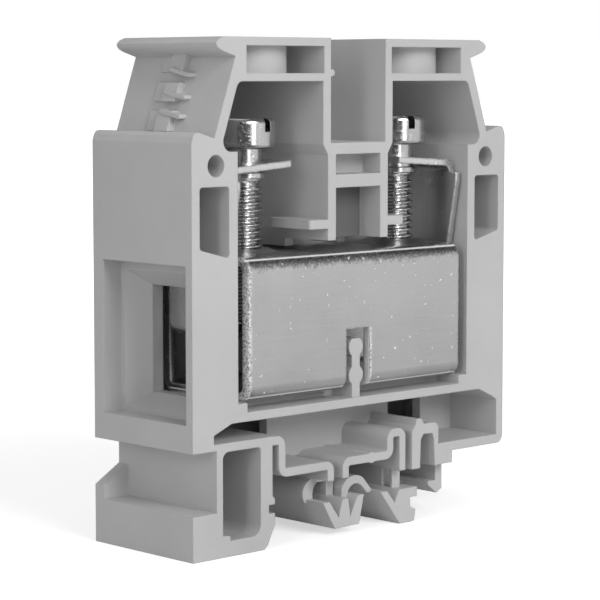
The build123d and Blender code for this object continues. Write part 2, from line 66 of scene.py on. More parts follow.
class Graph:
    """A node tree with short calls that add nodes and join their sockets."""

    # Numbers of the colour sockets on a Mix node.
    MIX_FIRST, MIX_SECOND, MIX_RESULT = 6, 7, 2

    def __init__(self, tree: bpy.types.NodeTree) -> None:
        """Keeps the tree and clears it.

        Args:
            tree: the node tree to fill.
        """
        self.tree = tree
        self.tree.nodes.clear()

    def add(
        self, kind: str, sockets: dict[str | int, Feed] | None = None, **settings: object
    ) -> bpy.types.Node:
        """Adds a node.

        Args:
            kind: the node's type without its ShaderNode prefix.
            sockets: input names or numbers with a plain value or an output socket to link.
            settings: attributes of the node itself.

        Returns:
            The new node.
        """
        prefix = "" if kind.startswith("NodeGroup") else "ShaderNode"
        node = self.tree.nodes.new(prefix + kind)
        for key, value in settings.items():
            setattr(node, key, value)
        for key, value in (sockets or {}).items():
            self.feed(node.inputs[key], value)
        return node

    def feed(self, socket: Socket, value: Feed) -> None:
        """Links an output to a socket, or sets the socket's plain value.

        Args:
            socket: the input to fill.
            value: an output socket, a number, a colour or a vector.
        """
        if isinstance(value, Socket):
            self.tree.links.new(value, socket)
        else:
            socket.default_value = value

    def place(self) -> Socket:
        """The point on the surface, in metres and in the block's own frame."""
        return self.add("TexCoord").outputs["Object"]

    def split(self, vector: Feed) -> bpy.types.bpy_prop_collection:
        """The X, Y and Z outputs of a vector."""
        return self.add("SeparateXYZ", {0: vector}).outputs

    def vector(self, operation: str, first: Feed, second: Feed = (0.0, 0.0, 0.0)) -> Socket:
        """Adds a Vector Math node whose result is a vector.

        Args:
            operation: the operation's name.
            first: the first vector or socket.
            second: the second vector or socket.

        Returns:
            The output socket.
        """
        node = self.add("VectorMath", {0: first, 1: second}, operation=operation)
        return node.outputs["Vector"]

    def dot(self, first: Feed, second: Feed) -> Socket:
        """Multiplies two vectors into one number."""
        node = self.add("VectorMath", {0: first, 1: second}, operation="DOT_PRODUCT")
        return node.outputs["Value"]

    def maths(self, operation: str, first: Feed, second: Feed = 0.0, clamp: bool = False) -> Socket:
        """Adds a Math node.

        Args:
            operation: the operation's name.
            first: the first value or socket.
            second: the second value or socket.
            clamp: keeps the result between 0 and 1.

        Returns:
            The output socket.
        """
        node = self.add("Math", {0: first, 1: second}, operation=operation, use_clamp=clamp)
        return node.outputs[0]

    def times(self, first: Feed, second: Feed) -> Socket:
        """Multiplies two values."""
        return self.maths("MULTIPLY", first, second)

    def span(
        self, value: Feed, low: float, high: float, to_low: float = 0.0, to_high: float = 1.0
    ) -> Socket:
        """Maps a value from one range to another and clamps it.

        Args:
            value: the socket to map.
            low: where the range starts.
            high: where the range ends.
            to_low: the result at low.
            to_high: the result at high.

        Returns:
            The output socket.
        """
        sockets = {"Value": value, "From Min": low, "From Max": high, "To Min": to_low, "To Max": to_high}
        return self.add("MapRange", sockets).outputs["Result"]

    def blend(self, factor: Feed, first: Feed, second: Feed) -> Socket:
        """Mixes two colours.

        Args:
            factor: 0 for the first colour, 1 for the second.
            first: a colour or socket.
            second: a colour or socket.

        Returns:
            The mixed colour's socket.
        """
        sockets = {"Factor": factor, self.MIX_FIRST: first, self.MIX_SECOND: second}
        return self.add("Mix", sockets, data_type="RGBA").outputs[self.MIX_RESULT]

    def noise(self, vector: Feed, scale: float, detail: float, roughness: float = 0.55) -> Socket:
        """Adds a noise texture.

        Args:
            vector: the coordinates' socket.
            scale: features per metre, roughly.
            detail: octaves.
            roughness: weight of the finer octaves.

        Returns:
            The factor's socket.
        """
        sockets = {"Vector": vector, "Scale": scale, "Detail": detail, "Roughness": roughness}
        return self.add("TexNoise", sockets).outputs["Fac"]

    def band(self, value: Feed, centre: float, reach: float, full_share: float = 0.35) -> Socket:
        """Marks where a value lies near a level, fading out on both sides.

        Args:
            value: the socket to test.
            centre: the level.
            reach: how far the mark goes to each side.
            full_share: the share of the reach where the mark is full.

        Returns:
            A mask that is 1 at the level and 0 at its reach.
        """
        away = self.maths("ABSOLUTE", self.maths("SUBTRACT", value, centre))
        return self.span(away, reach, full_share * reach)


def grey(level: float) -> Colour:
    """A grey of a given linear brightness."""
    return (level, level, level, 1.0)


def blank_material(name: str) -> tuple[bpy.types.Material, Graph]:
    """Makes an empty material.

    Args:
        name: the material's name.

    Returns:
        The material and the graph of its nodes.
    """
    material = bpy.data.materials.new(name)
    material.use_nodes = True
    return material, Graph(material.node_tree)


class Effect(Enum):
    """Shader node groups that several finishes share."""

    SOFT_EDGE = "soft_edge"
    GRAIN = "fine_grain"
    STREAKS = "drawn_streaks"
    SPARKLE = "plating_sparkle"

    def group(self) -> bpy.types.NodeTree:
        """Finds the effect's node group, which is built on its first use.

        Returns:
            The group.
        """
        tree = bpy.data.node_groups.get(self.value)
        if tree is None:
            tree = bpy.data.node_groups.new(self.value, "ShaderNodeTree")
            EFFECT_BUILDERS[self](tree)
        return tree

    def lay(self, graph: Graph, **values: Feed) -> bpy.types.bpy_prop_collection:
        """Puts the group into a material.

        Args:
            graph: the material's graph.
            values: values or sockets for the group's inputs.

        Returns:
            The group node's outputs.
        """
        return graph.add("Group", values, node_tree=self.group()).outputs


def group_sockets(tree: bpy.types.NodeTree, inputs: dict[str, Feed], outputs: dict[str, str]) -> None:
    """Declares a group's sockets.

    Args:
        tree: the group.
        inputs: names with their default numbers or vectors.
        outputs: names with their kind, Float or Vector.
    """
    for name, value in inputs.items():
        kind = "NodeSocketVector" if isinstance(value, tuple) else "NodeSocketFloat"
        tree.interface.new_socket(name=name, in_out="INPUT", socket_type=kind).default_value = value
    for name, kind in outputs.items():
        tree.interface.new_socket(name=name, in_out="OUTPUT", socket_type="NodeSocket" + kind)


def build_soft_edge(tree: bpy.types.NodeTree) -> None:
    """Rounds edges in the light and marks them: Radius in, Normal and Mask out.

    Args:
        tree: the empty group.
    """
    mask_starts, mask_full = 0.995, 0.80
    group_sockets(tree, {"Radius": 0.3 * MM}, {"Normal": "Vector", "Mask": "Float"})
    graph = Graph(tree)
    entry = graph.add("NodeGroupInput").outputs
    rounded = graph.add("Bevel", {"Radius": entry["Radius"]}, samples=6).outputs[0]
    turn = graph.dot(rounded, graph.add("NewGeometry").outputs["Normal"])
    mask = graph.span(turn, mask_starts, mask_full)
    graph.add("NodeGroupOutput", {"Normal": rounded, "Mask": mask})


def build_grain(tree: bpy.types.NodeTree) -> None:
    """Cloudy tone, fine grain and pits: Scale in, Cloud, Grain and Pits out.

    Args:
        tree: the empty group.
    """
    cloud_scale, grain_scale, pit_scale = 60.0, 2600.0, 700.0
    cloud_range = (0.32, 0.68)
    pit_rim, pit_floor = 0.16, 0.05
    group_sockets(tree, {"Scale": 1.0}, dict.fromkeys(("Cloud", "Grain", "Pits"), "Float"))
    graph = Graph(tree)
    entry = graph.add("NodeGroupInput").outputs
    scaling = {0: graph.place(), "Scale": entry["Scale"]}
    scaled = graph.add("VectorMath", scaling, operation="SCALE").outputs["Vector"]
    cloud = graph.span(graph.noise(scaled, cloud_scale, detail=4.0), *cloud_range)
    grain = graph.span(graph.noise(scaled, grain_scale, detail=2.0), *NOISE_RANGE)
    spots = graph.add("TexVoronoi", {"Vector": scaled, "Scale": pit_scale}).outputs["Distance"]
    pits = graph.span(spots, pit_rim, pit_floor)
    graph.add("NodeGroupOutput", {"Cloud": cloud, "Grain": grain, "Pits": pits})


def build_streaks(tree: bpy.types.NodeTree) -> None:
    """Long drawn lines: Stretch in, Streaks out.

    Args:
        tree: the empty group.
    """
    streak_scale = 2400.0
    group_sockets(tree, {"Stretch": (0.06, 1.0, 1.0)}, {"Streaks": "Float"})
    graph = Graph(tree)
    entry = graph.add("NodeGroupInput").outputs
    drawn = graph.vector("MULTIPLY", graph.place(), entry["Stretch"])
    streaks = graph.noise(drawn, streak_scale, detail=4.0, roughness=0.6)
    graph.add("NodeGroupOutput", {"Streaks": graph.span(streaks, *NOISE_RANGE)})


def build_sparkle(tree: bpy.types.NodeTree) -> None:
    """Crystals and dark dents of plating, and painted glints as bright spots: Fineness in, the three masks
    out.

    Args:
        tree: the empty group.
    """
    crystal_scale, glint_scale, dent_scale = 3600.0, 1250.0, 950.0
    glint_starts, glint_full = 0.69, 0.73
    dent_starts, dent_full = 0.30, 0.255
    group_sockets(tree, {"Fineness": 1.0}, dict.fromkeys(("Crystals", "PaintedGlints", "Dents"), "Float"))
    graph = Graph(tree)
    entry = graph.add("NodeGroupInput").outputs
    place = graph.place()
    scale = graph.times(entry["Fineness"], crystal_scale)
    cells = graph.add("TexVoronoi", {"Vector": place, "Scale": scale}).outputs["Color"]
    crystals = graph.add("SeparateColor", {"Color": cells}).outputs["Red"]
    painted_glints = graph.span(graph.noise(place, glint_scale, detail=2.0), glint_starts, glint_full)
    dents = graph.span(graph.noise(place, dent_scale, detail=3.0), dent_starts, dent_full)
    graph.add("NodeGroupOutput", {"Crystals": crystals, "PaintedGlints": painted_glints, "Dents": dents})


EFFECT_BUILDERS = {
    Effect.SOFT_EDGE: build_soft_edge,
    Effect.GRAIN: build_grain,
    Effect.STREAKS: build_streaks,
    Effect.SPARKLE: build_sparkle,
}


@dataclass(frozen=True)
class Finish:
    """A surface's name and its main tone, from 0 for black to 1 for white."""

    name: str
    tone: float

    def shade(self, share: float) -> Colour:
        """A grey at a share of the main tone."""
        return grey(self.tone * share)


@dataclass(frozen=True)
class MouldedPlastic(Finish):
    """Light grey moulded polyamide with a fine matt grain and soft edges.

    Lengths are in millimetres. A share is a part of the plastic's main tone.
    """

    name: str = "moulded_grey"
    tone: float = 0.57
    edge_radius: float = 0.22
    dark_cloud_share: float = 0.95
    light_cloud_share: float = 1.04
    pit_weight: float = 0.12
    pit_share: float = 0.7
    # Painted highlight: the rounded edges are made lighter.
    edge_highlight_weight: float = 0.2
    edge_highlight_share: float = 1.18
    rough_range: Pair = (0.42, 0.58)
    refraction: float = 1.5
    grain_strength: float = 0.22
    grain_height: float = 0.03
    # Painted shade on the floor of the opening between the pillar's walls, in the box below.
    painted_shade_share: float = 0.25
    opening_centre: Triple = (0.0, -6.3, 46.2)
    opening_half: Triple = (4.4, 0.45, 3.9)

    def painted_shade_opening(self, graph: Graph) -> Socket:
        """Marks the floor of the opening between the pillar's walls, darkened there as painted shade.

        Args:
            graph: the material's graph.

        Returns:
            A mask that is 1 on that floor.
        """
        centre = tuple(value * MM for value in self.opening_centre)
        away = graph.vector("SUBTRACT", graph.place(), centre)
        apart = graph.split(graph.vector("ABSOLUTE", away))
        mask: Feed = 1.0
        for axis, half in zip("XYZ", self.opening_half):
            mask = graph.times(mask, graph.maths("LESS_THAN", apart[axis], half * MM))
        return mask

    def material(self) -> bpy.types.Material:
        """Builds the finish.

        Returns:
            The material.
        """
        made, graph = blank_material(self.name)
        edge = Effect.SOFT_EDGE.lay(graph, Radius=self.edge_radius * MM)
        grain = Effect.GRAIN.lay(graph, Scale=1.0)
        dark_cloud, light_cloud = self.shade(self.dark_cloud_share), self.shade(self.light_cloud_share)
        colour = graph.blend(grain["Cloud"], dark_cloud, light_cloud)
        for mask, weight, share in (
            (grain["Pits"], self.pit_weight, self.pit_share),
            # painted highlight along the rounded edges
            (edge["Mask"], self.edge_highlight_weight, self.edge_highlight_share),
            # painted shade on the floor of the pillar's opening
            (self.painted_shade_opening(graph), 1.0, self.painted_shade_share),
        ):
            colour = graph.blend(graph.times(mask, weight), colour, self.shade(share))
        bump = graph.add("Bump", {
            "Strength": self.grain_strength,
            "Distance": self.grain_height * MM,
            "Height": grain["Grain"],
            "Normal": edge["Normal"],
        })
        shader = graph.add("BsdfPrincipled", {
            "Base Color": colour,
            "Roughness": graph.span(grain["Grain"], 0.0, 1.0, *self.rough_range),
            "IOR": self.refraction,
            "Normal": bump.outputs[0],
        })
        graph.add("OutputMaterial", {"Surface": shader.outputs[0]})
        return made


@dataclass(frozen=True)
class ShearedRim:
    """A rim that the punch rolled over, from start down to the cut at stop, along x. Millimetres."""

    start: float
    stop: float
    top: float


@dataclass
class PlatingMasks:
    """The masks, heights and normal that a plated surface is laid with."""

    rounded: Feed
    edge: Feed
    cloud: Feed
    grain: Feed
    pits: Feed
    streaks: Feed
    crystals: Feed
    # painted glints
    painted_glints: Feed
    dents: Feed
    rim: Feed = 0.0
    rolled: Feed = 1.0
    cut_face: Feed = 0.0
    # painted dark reflection along a bend
    painted_dark_band: Feed = 0.0
    # painted highlight lines
    painted_highlight: Feed = 0.0


@dataclass(frozen=True)
class PlatedSteel(Finish):
    """Zinc plated steel, drawn or turned, with rough crystals where an edge was cut or bent.

    Lengths are in millimetres. A share is a part of the plating's main tone. A dullness is how much
    of the metal's mirror look a mark takes away, and a relief is its height in the fine bump.
    """

    rough: float = 0.30
    stretch: Triple = (0.06, 1.0, 1.0)
    streak_weight: float = 0.12
    streak_share: float = 1.3
    edge_radius: float = 0.4
    edge_sparkle: float = 0.7
    grain_scale: float = 1.6
    grain_relief: float = 0.8
    # Clouds in tone and gloss, with dark pits and dents.
    dark_cloud_share: float = 0.93
    light_cloud_share: float = 1.06
    rough_below: float = 0.04
    rough_above: float = 0.05
    pit_weight: float = 0.22
    pit_share: float = 0.55
    dent_weight: float = 0.35
    dent_share: float = 0.45
    # Crystals on rough rims, and painted glints as bright spots.
    crystal_fineness: float = 1.0
    crystal_relief: float = 0.2
    crystal_range: Pair = (0.25, 0.55)
    crystal_tones: Pair = (0.25, 1.0)
    glint_tone: float = 1.0
    glint_dullness: float = 0.7
    glint_relief: float = 3.0
    # Sheared rims, rough towards the open front, and their smooth cut faces, painted light there where they
    # lie in shade.
    rim_dullness: float = 0.45
    rim_relief: float = 8.0
    rim_range: Pair = (0.28, 0.75)
    rim_margin: float = 0.1
    rim_roll: float = 0.3
    front_range: Pair = (-6.0, -8.0)
    cut_face_depth: float = 0.97
    painted_cut_face_tone: float = 0.85
    cut_face_dullness: float = 0.7
    kept_edge: float = 0.5
    # Painted dark reflection in a band along a bend, with ragged borders speckled by the plating's crystals,
    # and painted highlights along thin lines.
    border_scale: float = 900.0
    border_wander: float = 0.35
    border_speckle: float = 0.45
    dark_band_reach: float = 0.95
    dark_band_weight: float = 0.7
    dark_band_range: Pair = (0.60, 0.95)
    dark_band_tones: Pair = (0.19, 0.66)
    highlight_reach: float = 0.16
    highlight_tone: float = 0.95
    highlight_dullness: float = 0.9
    # The fine bump, and where the bends with their painted dark band, the painted highlight lines and the
    # sheared rims lie.
    relief_strength: float = 0.3
    relief_height: float = 0.015
    bends: tuple[float, ...] = ()
    highlight_lines: tuple[float, ...] = ()
    sheared: tuple[ShearedRim, ...] = ()

    def rim_masks(self, graph: Graph, edge: Socket) -> tuple[Feed, Feed, Feed]:
        """Marks the sheared rims across the sheet, which the punch rolled over.

        Args:
            graph: the material's graph.
            edge: the mask of the soft edges.

        Returns:
            The mask of the rough rims, the height that falls towards the cuts, and the mask of the
            cut end faces, which are smooth, dull and painted light near the open front.
        """
        if not self.sheared:
            return edge, 1.0, 0.0
        rim, rolled, cut_face = edge, 1.0, 0.0
        place = graph.split(graph.place())
        front_starts, front_full = self.front_range
        near = graph.span(place["Y"], front_starts * MM, front_full * MM)
        for zone in self.sheared:
            below = graph.maths("LESS_THAN", place["Z"], zone.top * MM)
            past_cut = graph.maths("GREATER_THAN", place["X"], (zone.stop - self.rim_margin) * MM)
            across = graph.span(place["X"], zone.start * MM, zone.stop * MM)
            depth = graph.times(across, graph.times(below, past_cut))
            rough_rim = graph.times(near, graph.span(depth, *self.rim_range))
            rim = graph.maths("MAXIMUM", rim, rough_rim)
            rolled = graph.maths("SUBTRACT", rolled, graph.times(depth, depth))
            at_cut = graph.maths("GREATER_THAN", depth, self.cut_face_depth)
            cut_face = graph.maths("MAXIMUM", cut_face, at_cut)
        smooth = graph.times(cut_face, graph.span(edge, 0.0, self.kept_edge, 1.0, 0.0))
        rim = graph.maths("SUBTRACT", rim, smooth, clamp=True)
        return rim, rolled, graph.times(cut_face, near)

    def fold_masks(self, graph: Graph, crystals: Socket) -> tuple[Feed, Feed]:
        """Marks the painted dark band along the bends and the painted highlight lines, by their level.

        Args:
            graph: the material's graph.
            crystals: the plating's crystals, which make the zones' borders speckled.

        Returns:
            The masks of the painted dark band and of the painted highlight lines.
        """
        painted_dark_band: Feed = 0.0
        painted_highlight: Feed = 0.0
        if not (self.bends or self.highlight_lines):
            return painted_dark_band, painted_highlight
        place = graph.place()
        level = graph.split(place)["Z"]
        wander, speckle = self.border_wander * MM, self.border_speckle * MM
        ragged = graph.span(graph.noise(place, self.border_scale, detail=3.0), *NOISE_RANGE, -wander, wander)
        speckled = graph.span(crystals, 0.0, 1.0, -speckle, speckle)
        border = graph.maths("ADD", graph.maths("ADD", level, ragged), speckled)
        for bend in self.bends:
            zone = graph.band(border, bend * MM, self.dark_band_reach * MM)
            painted_dark_band = graph.maths("MAXIMUM", painted_dark_band, zone)
        for line in self.highlight_lines:
            zone = graph.band(level, line * MM, self.highlight_reach * MM)
            painted_highlight = graph.maths("MAXIMUM", painted_highlight, zone)
        return painted_dark_band, painted_highlight

    def masks(self, graph: Graph) -> PlatingMasks:
        """Places the shared effects and works out the finish's own masks.

        Args:
            graph: the material's graph.

        Returns:
            All the masks.
        """
        edge = Effect.SOFT_EDGE.lay(graph, Radius=self.edge_radius * MM)
        grain = Effect.GRAIN.lay(graph, Scale=self.grain_scale)
        lines = Effect.STREAKS.lay(graph, Stretch=self.stretch)
        sparkle = Effect.SPARKLE.lay(graph, Fineness=self.crystal_fineness)
        masks = PlatingMasks(
            rounded=edge["Normal"],
            edge=edge["Mask"],
            cloud=grain["Cloud"],
            grain=grain["Grain"],
            pits=grain["Pits"],
            streaks=lines["Streaks"],
            crystals=sparkle["Crystals"],
            painted_glints=sparkle["PaintedGlints"],
            dents=sparkle["Dents"],
        )
        masks.rim, masks.rolled, masks.cut_face = self.rim_masks(graph, masks.edge)
        masks.painted_dark_band, masks.painted_highlight = self.fold_masks(graph, masks.crystals)
        return masks

    def colour(self, graph: Graph, masks: PlatingMasks) -> Socket:
        """Lays the tones of the plating and its marks over each other.

        Args:
            graph: the material's graph.
            masks: the surface's masks.

        Returns:
            The colour.
        """
        dark_crystal, bright_crystal = map(grey, self.crystal_tones)
        crystal = graph.blend(graph.span(masks.crystals, *self.crystal_range), dark_crystal, bright_crystal)
        # tones of the painted dark reflection along a bend, speckled by the crystals
        dark_dull, light_dull = map(grey, self.dark_band_tones)
        dull = graph.blend(graph.span(masks.crystals, *self.dark_band_range), dark_dull, light_dull)
        dark_cloud, light_cloud = self.shade(self.dark_cloud_share), self.shade(self.light_cloud_share)
        colour = graph.blend(masks.cloud, dark_cloud, light_cloud)
        for mask, weight, tone in (
            (masks.streaks, self.streak_weight, self.shade(self.streak_share)),
            (masks.pits, self.pit_weight, self.shade(self.pit_share)),
            (masks.dents, self.dent_weight, self.shade(self.dent_share)),
            (masks.rim, self.edge_sparkle, crystal),
            # painted light on cut faces that lie in the housing's shade
            (masks.cut_face, 1.0, grey(self.painted_cut_face_tone)),
            (masks.painted_dark_band, self.dark_band_weight, dull),
            # painted highlight lines
            (masks.painted_highlight, 1.0, grey(self.highlight_tone)),
            # painted glints as white spots
            (masks.painted_glints, 1.0, grey(self.glint_tone)),
        ):
            colour = graph.blend(graph.times(mask, weight), colour, tone)
        return colour

    def mirror(self, graph: Graph, masks: PlatingMasks) -> Socket:
        """Takes the mirror look away on crushed rims, painted highlight lines, painted glints and painted
        cut faces.

        Args:
            graph: the material's graph.
            masks: the surface's masks.

        Returns:
            The value for Metallic.
        """
        metallic: Feed = 1.0
        for mask, dullness in (
            (masks.painted_highlight, self.highlight_dullness),
            (masks.rim, self.rim_dullness),
            (masks.cut_face, self.cut_face_dullness),
            (masks.painted_glints, self.glint_dullness),
        ):
            metallic = graph.maths("SUBTRACT", metallic, graph.times(mask, dullness), clamp=True)
        return metallic

    def relief(self, graph: Graph, masks: PlatingMasks) -> Socket:
        """Bends the surface's normal for the rolled rims and the fine marks.

        Args:
            graph: the material's graph.
            masks: the surface's masks.

        Returns:
            The normal.
        """
        height = masks.streaks
        for mask, rise in (
            (masks.grain, self.grain_relief),
            (graph.times(masks.rim, masks.crystals), self.rim_relief),
            (masks.crystals, self.crystal_relief),
            (masks.painted_glints, self.glint_relief),
        ):
            height = graph.maths("ADD", height, graph.times(mask, rise))
        rolled = graph.add("Bump", {
            "Distance": self.rim_roll * MM,
            "Height": masks.rolled,
            "Normal": masks.rounded,
        })
        fine = graph.add("Bump", {
            "Strength": self.relief_strength,
            "Distance": self.relief_height * MM,
            "Height": height,
            "Normal": rolled.outputs[0],
        })
        return fine.outputs[0]

    def material(self) -> bpy.types.Material:
        """Builds the finish.

        Returns:
            The material.
        """
        made, graph = blank_material(self.name)
        masks = self.masks(graph)
        smoothest, roughest = self.rough - self.rough_below, self.rough + self.rough_above
        shader = graph.add("BsdfPrincipled", {
            "Base Color": self.colour(graph, masks),
            "Metallic": self.mirror(graph, masks),
            "Roughness": graph.span(masks.cloud, 0.0, 1.0, smoothest, roughest),
            "Normal": self.relief(graph, masks),
        })
        graph.add("OutputMaterial", {"Surface": shader.outputs[0]})
        return made


def dress(node: bpy.types.Object, material: bpy.types.Material) -> None:
    """Gives an object one material.

    Args:
        node: the object.
        material: its finish.
    """
    node.data.materials.clear()
    node.data.materials.append(material)


def linked_piece(name: str, mesh: bpy.types.Mesh) -> bpy.types.Object:
    """Puts a mesh into the scene as an object and keeps its hard edges sharp.

    Args:
        name: the object's name.
        mesh: its mesh, in metres.

    Returns:
        The object.
    """
    mesh.set_sharp_from_angle(angle=math.radians(SHARP_DEGREES))
    piece = bpy.data.objects.new(name, mesh)
    bpy.context.scene.collection.objects.link(piece)
    return piece


def piece_from(made: bmesh.types.BMesh, name: str) -> bpy.types.Object:
    """Turns a bmesh in millimetres into an object in metres with smooth faces and sharp edges.

    Args:
        made: the bmesh, which is freed.
        name: the object's name.

    Returns:
        The linked object.
    """
    bmesh.ops.recalc_face_normals(made, faces=made.faces)
    mesh = bpy.data.meshes.new(name)
    made.to_mesh(mesh)
    made.free()
    mesh.transform(Matrix.Scale(MM, 4))
    mesh.shade_smooth()
    return linked_piece(name, mesh)


def ring(made: bmesh.types.BMesh, radius: float, level: float, segments: int) -> list[bmesh.types.BMVert]:
    """Adds the points of a level circle round the z axis, or one point where the radius is 0.

    Args:
        made: the bmesh to add to.
        radius: the circle's radius.
        level: its height.
        segments: steps round the axis.

    Returns:
        The points in order.
    """
    if radius == 0:
        return [made.verts.new((0, 0, level))]
    points = []
    for step in range(segments):
        angle = 2 * math.pi * step / segments
        points.append(made.verts.new((radius * math.cos(angle), radius * math.sin(angle), level)))
    return points


def lathe(made: bmesh.types.BMesh, profile: list[Pair], segments: int) -> None:
    """Turns a closed profile round the z axis.

    Args:
        made: the bmesh to add to.
        profile: radius and height pairs, from the axis at the bottom to the axis at the top.
        segments: steps round the axis.
    """
    rings = [ring(made, radius, level, segments) for radius, level in profile]
    for low, high in zip(rings, rings[1:]):
        for step in range(segments):
            after = (step + 1) % segments
            lower = [low[step % len(low)], low[after % len(low)]]
            upper = [high[after % len(high)], high[step % len(high)]]
            corners = list(dict.fromkeys(lower + upper))
            if len(corners) > 2:
                made.faces.new(corners)


@dataclass
class ClampScrew:
    """One slotted cheese-head screw with a real thread and a captive neck.

    Lengths are in millimetres. The thread's fades are in turns, and its half widths are parts of
    the pitch.
    """

    side: Side
    slot_turn: float
    pitch: float = 1.0
    crest_radius: float = 3.0
    root_radius: float = 2.42
    tip_chamfer: float = 0.35
    thread_rise: float = 0.42
    thread_gap: float = 0.85
    thread_sunk: float = 0.06
    fade_in: float = 0.9
    fade_out: float = 0.5
    least_rise: float = 0.02
    foot_half: float = 0.44
    crest_half: float = 0.07
    runout_start: float = 0.9
    runout_end: float = 0.2
    runout_ease: float = 0.1
    collar_radius: float = 3.4
    collar_height: float = 0.9
    collar_drop: float = 3.3
    collar_chamfer: float = 0.12
    neck_overlap: float = 0.3
    head_radius: float = 4.85
    head_height: float = 4.25
    head_round: float = 0.75
    head_bevel: float = 0.55
    ring_gap: float = 0.05
    arc_steps: int = 5
    slot_width: float = 1.15
    slot_depth: float = 1.9
    segments: int = 48
    head_segments: int = 96

    def build(self, finish: bpy.types.Material) -> bpy.types.Object:
        """Makes the screw in place of its plain node.

        Args:
            finish: the screw's material.

        Returns:
            The screw.
        """
        node = self.side.value + "_screw"
        low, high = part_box(node)
        parts = (self.shank(low.z / MM, high.z / MM), self.slotted_head(high.z / MM))
        merged = bmesh.new()
        for part in parts:
            merged.from_mesh(part.data)
            bpy.data.objects.remove(part)
        axis = (low + high) / 2
        bmesh.ops.transform(merged, matrix=Matrix.Translation((axis.x, axis.y, 0)), verts=merged.verts)
        mesh = bpy.data.meshes.new(node + "_turned")
        merged.to_mesh(mesh)
        merged.free()
        piece = linked_piece(node + "_turned", mesh)
        dress(piece, finish)
        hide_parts(node)
        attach(piece, node)
        return piece

    def under_collar(self, top: float) -> float:
        """Level where the thread runs out under the collar."""
        return top - self.head_height - self.collar_drop - self.collar_height

    def shank(self, tip: float, top: float) -> bpy.types.Object:
        """Makes everything below the head.

        Args:
            tip: level of the screw's end.
            top: level of the head's top.

        Returns:
            The core, thread, collar and neck as one object.
        """
        made = bmesh.new()
        self.add_thread(made, tip, top)
        self.add_core(made, tip, top)
        return piece_from(made, self.side.value + "_shank")

    def add_core(self, made: bmesh.types.BMesh, tip: float, top: float) -> None:
        """Adds the core, the run-out, the collar and the neck.

        Args:
            made: the bmesh to add to.
            tip: level of the screw's end.
            top: level of the head's top.
        """
        collar = self.under_collar(top)
        collar_top = collar + self.collar_height
        neck_top = top - self.head_height + self.neck_overlap
        eased = self.crest_radius - self.runout_ease
        chamfered = self.collar_radius - self.collar_chamfer
        profile = [
            (0, tip),
            (self.root_radius - self.tip_chamfer, tip),
            (self.root_radius, tip + self.tip_chamfer),
            (self.root_radius, collar - self.runout_start),
            (eased, collar - self.runout_end),
            (eased, collar),
            (chamfered, collar),
            (self.collar_radius, collar + self.collar_chamfer),
            (self.collar_radius, collar_top - self.collar_chamfer),
            (chamfered, collar_top),
            (self.crest_radius, collar_top),
            (self.crest_radius, neck_top),
            (0, neck_top),
        ]
        lathe(made, profile, self.segments)

    def add_thread(self, made: bmesh.types.BMesh, tip: float, top: float) -> None:
        """Winds the ridge of the thread round the core, tapering at both ends.

        Args:
            made: the bmesh to add to.
            tip: level of the screw's end.
            top: level of the head's top.
        """
        start, end = tip + self.thread_rise, self.under_collar(top) - self.thread_gap
        steps = int((end - start) / self.pitch * self.segments)
        foot = self.root_radius - self.thread_sunk
        rings = []
        for step in range(steps + 1):
            turns = step / self.segments
            turns_left = (steps - step) / self.segments
            rise = max(self.least_rise, min(1.0, turns / self.fade_in, turns_left / self.fade_out))
            crest = foot + (self.crest_radius - foot) * rise
            section = (
                (foot, -self.foot_half),
                (crest, -self.crest_half),
                (crest, self.crest_half),
                (foot, self.foot_half),
            )
            angle = 2 * math.pi * turns
            points = []
            for radius, shift in section:
                level = start + self.pitch * (turns + shift)
                points.append(made.verts.new((radius * math.cos(angle), radius * math.sin(angle), level)))
            rings.append(points)
        for first, second in zip(rings, rings[1:]):
            for corner in range(len(first)):
                after = (corner + 1) % len(first)
                made.faces.new((first[corner], first[after], second[after], second[corner]))
        for end_ring in (rings[0], rings[-1]):
            made.faces.new(end_ring)

    def head_profile(self, top: float) -> list[Pair]:
        """Draws the cheese head with a rounded upper and lower edge.

        Args:
            top: level of the head's top.

        Returns:
            Radius and height pairs, from the axis at the bottom to the axis at the top. Two rings
            close to the arcs keep the tall side flat in the light.
        """
        under = top - self.head_height
        upper, lower = [], []
        for step in range(self.arc_steps + 1):
            angle = math.radians(90 * step / self.arc_steps)
            inward, onward = 1 - math.cos(angle), 1 - math.sin(angle)
            upper.append((self.head_radius - self.head_round * inward, top - self.head_round * onward))
            lower.append((self.head_radius - self.head_bevel * onward, under + self.head_bevel * inward))
        side = [
            (self.head_radius, under + self.head_bevel + self.ring_gap),
            (self.head_radius, top - self.head_round - self.ring_gap),
        ]
        return [(0, under)] + lower + side + upper + [(0, top)]

    def slot_cutter(self, top: float) -> bpy.types.Object:
        """Makes the bar that cuts the driver slot.

        Args:
            top: level of the head's top.

        Returns:
            The cutter, centred on the head's top.
        """
        made = bmesh.new()
        bmesh.ops.create_cube(made, size=1.0)
        size = (3 * self.head_radius, self.slot_width, 2 * self.slot_depth)
        bmesh.ops.scale(made, vec=size, verts=made.verts)
        turned = Matrix.Rotation(math.radians(self.slot_turn), 4, "Z")
        raised = Matrix.Translation((0, 0, top))
        bmesh.ops.transform(made, matrix=raised @ turned, verts=made.verts)
        return piece_from(made, self.side.value + "_cutter")

